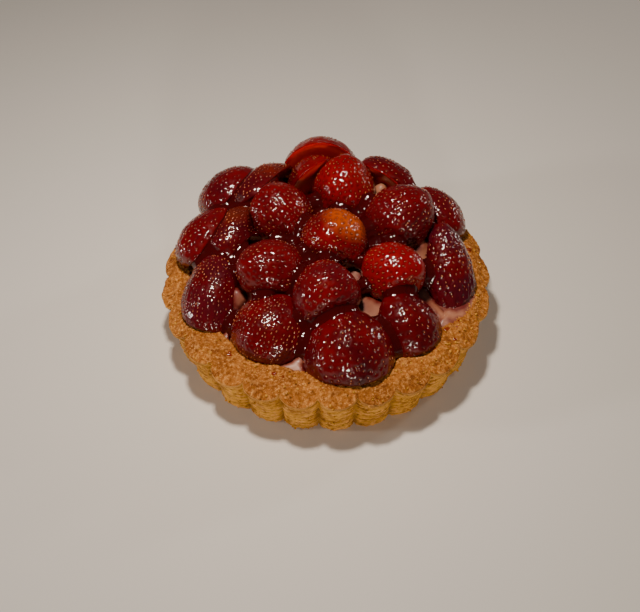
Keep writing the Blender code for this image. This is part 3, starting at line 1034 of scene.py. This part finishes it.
def crumb_shape(number):
    """One rough lump of 20 faces."""
    bm = bmesh.new()
    bmesh.ops.create_icosphere(bm, subdivisions=1, radius=0.5)
    for vert in bm.verts:
        vert.co *= 1 + 0.55 * noise(vert.co * 3 + UP * 7 * number)
    return as_mesh(bm, "shape")


# In millimetres: the radii that crumbs on the rim lie between, and how high up the wall others hold.
RIM_BAND, WALL_TOP = (53, 64.5), 22
CRUMB_SHAPES = 6


class TART_OT_crumbs(Operator):
    """Scatters loose crumbs over the rim, the wall and the foot"""

    bl_idname = "tart.crumbs"
    bl_label = "Scatter Crumbs"

    def execute(self, context):
        look = context.scene.tart_crumbs
        dice = random.Random(CRUMB_DICE)
        crust = surface_of("baked_shell")
        cover = covers()
        shapes = [crumb_shape(number) for number in range(CRUMB_SHAPES)]
        crumbs = bmesh.new()
        for number in range(look.count):
            turn = dice.uniform(0, math.tau)
            out = Vector((math.cos(turn), math.sin(turn), 0))
            if number % 3:
                place, normal, _, _ = crust.ray_cast(out * dice.uniform(*RIM_BAND) * MM + UP * CLEAR, -UP)
            else:
                height = WALL_TOP * MM * dice.random() ** 1.6
                place, normal, _, _ = crust.ray_cast(out * CLEAR + UP * height, -out)
            if place is None or not in_the_open(place + normal * 0.5 * MM, "pastry_shell", cover):
                continue
            width = look.smallest + (look.largest - look.smallest) * dice.random() ** 2.5
            spin = Vector((dice.uniform(-1, 1), dice.uniform(-1, 1), dice.uniform(-1, 1)))
            # A crumb at the foot lies on the table and not in it.
            place.z = max(place.z, 0.65 * width)
            seat = frame_on(place + normal * 0.2 * width, normal, spin)
            copy_into(crumbs, dice.choice(shapes), seat @ Matrix.Scale(width, 4))
        finish_piece(crumbs, "loose_crumbs", bpy.data.materials["baked_shortcrust"])
        return {"FINISHED"}


# ---- stage


class TART_OT_stage(Operator):
    """Sets the floor, the lights and the camera"""

    bl_idname = "tart.stage"
    bl_label = "Set the Stage"

    def execute(self, context):
        look = context.scene.tart_stage
        bm = bmesh.new()
        bmesh.ops.create_grid(bm, x_segments=1, y_segments=1, size=look.floor_size / 2)
        bmesh.ops.translate(bm, verts=bm.verts, vec=UP * (SHELL_LOW.z - FLOOR_GAP))
        mesh = as_mesh(bm, "floor")
        board = {"Base Color": opaque(look.floor), "Roughness": 0.7}
        mesh.materials.append(shade(new_material("matt_board")[0], board))
        floor = bpy.data.objects.new("floor", mesh)
        context.scene.collection.objects.link(floor)
        light_stage(context.scene)
        place_camera(context.scene, look)
        return {"FINISHED"}


def light_stage(scene):
    """A small bright panel overhead for the glints, three weaker ones for fill, and a dim room."""
    for name, place, width, watts, tint in (
        ("key", (-0.035, 0.0, 0.30), 0.032, 0.92, "#ffeedc"),
        ("front_fill", (0.1, -0.8, 0.2), 0.08, 2.3, "#fff2e0"),
        ("left_fill", (-0.74, -0.12, 0.24), 0.08, 1.8, "#fff4e8"),
        ("right_fill", (0.62, 0.4, 0.3), 0.08, 1.0, "#fff4e8"),
    ):
        panel = bpy.data.lights.new(name, "AREA")
        panel.size = width
        panel.energy = watts
        panel.color = linear(tint)
        lamp = bpy.data.objects.new(name, panel)
        lamp.location = place
        lamp.rotation_mode = "QUATERNION"
        lamp.rotation_quaternion = (-Vector(place)).to_track_quat("-Z", "Y")
        scene.collection.objects.link(lamp)
    world = bpy.data.worlds.new("room")
    world.use_nodes = True
    tree = world.node_tree
    tree.nodes.clear()
    # The room that lights the tart is dim, and the backdrop behind it is as pale as the floor.
    room = add_node(tree, "ShaderNodeBackground", {"Color": opaque(linear("#c2bab2")), "Strength": 0.12})
    backdrop = add_node(tree, "ShaderNodeBackground", {"Color": opaque(linear("#cdc8c0")), "Strength": 0.8})
    seen = add_node(tree, "ShaderNodeLightPath").outputs["Is Camera Ray"]
    mixed = add_node(tree, "ShaderNodeMixShader", {0: seen, 1: room.outputs[0], 2: backdrop.outputs[0]})
    add_node(tree, "ShaderNodeOutputWorld", {"Surface": mixed.outputs[0]})
    scene.world = world


def place_camera(scene, look):
    """Looks down at the tart from the front. The point looked at lies just left of and behind its middle."""
    aim = Vector((-2.5, 0.9, 0)) * MM
    level = math.cos(look.elevation)
    back = Vector((math.sin(look.turn) * level, -math.cos(look.turn) * level, math.sin(look.elevation)))
    data = bpy.data.cameras.new("camera")
    data.lens = 50
    data.sensor_width = 36
    data.clip_start, data.clip_end = 0.01, 20
    camera = bpy.data.objects.new("camera", data)
    camera.location = aim + back * look.distance
    camera.rotation_mode = "QUATERNION"
    facing = (-back).to_track_quat("-Z", "Y").to_matrix()
    camera.rotation_quaternion = (facing @ Matrix.Rotation(look.roll, 3, "Z")).to_quaternion()
    scene.collection.objects.link(camera)
    scene.camera = camera


# ---- add-on


class TART_PT_panel(Panel):
    """Lists the tart's pieces in the order they are made"""

    bl_idname = "TART_PT_panel"
    bl_label = "Strawberry Tart"
    bl_space_type = "VIEW_3D"
    bl_region_type = "UI"
    bl_category = "Tart"

    def draw(self, context):
        for operator, group, look in STEPS:
            box = self.layout.box()
            box.operator(operator.bl_idname)
            for name in look.__annotations__:
                box.prop(getattr(context.scene, group), name)


# Each operator, with the name and the group of its sizes and colours, in the order of making.
STEPS = (
    (TART_OT_pastry, "tart_pastry", PastryLook),
    (TART_OT_cream, "tart_cream", CreamLook),
    (TART_OT_fruit, "tart_fruit", FruitLook),
    (TART_OT_glaze, "tart_glaze", GlazeLook),
    (TART_OT_crumbs, "tart_crumbs", CrumbLook),
    (TART_OT_stage, "tart_stage", StageLook),
)


def register():
    for operator, group, look in STEPS:
        bpy.utils.register_class(look)
        setattr(bpy.types.Scene, group, PointerProperty(type=look))
        bpy.utils.register_class(operator)
    bpy.utils.register_class(TART_PT_panel)


def unregister():
    bpy.utils.unregister_class(TART_PT_panel)
    for operator, group, look in reversed(STEPS):
        bpy.utils.unregister_class(operator)
        delattr(bpy.types.Scene, group)
        bpy.utils.unregister_class(look)


def main():
    register()
    bpy.ops.tart.pastry()
    bpy.ops.tart.cream()
    bpy.ops.tart.fruit()
    bpy.ops.tart.glaze()
    bpy.ops.tart.crumbs()
    bpy.ops.tart.stage()


if __name__ == "__main__":
    main()
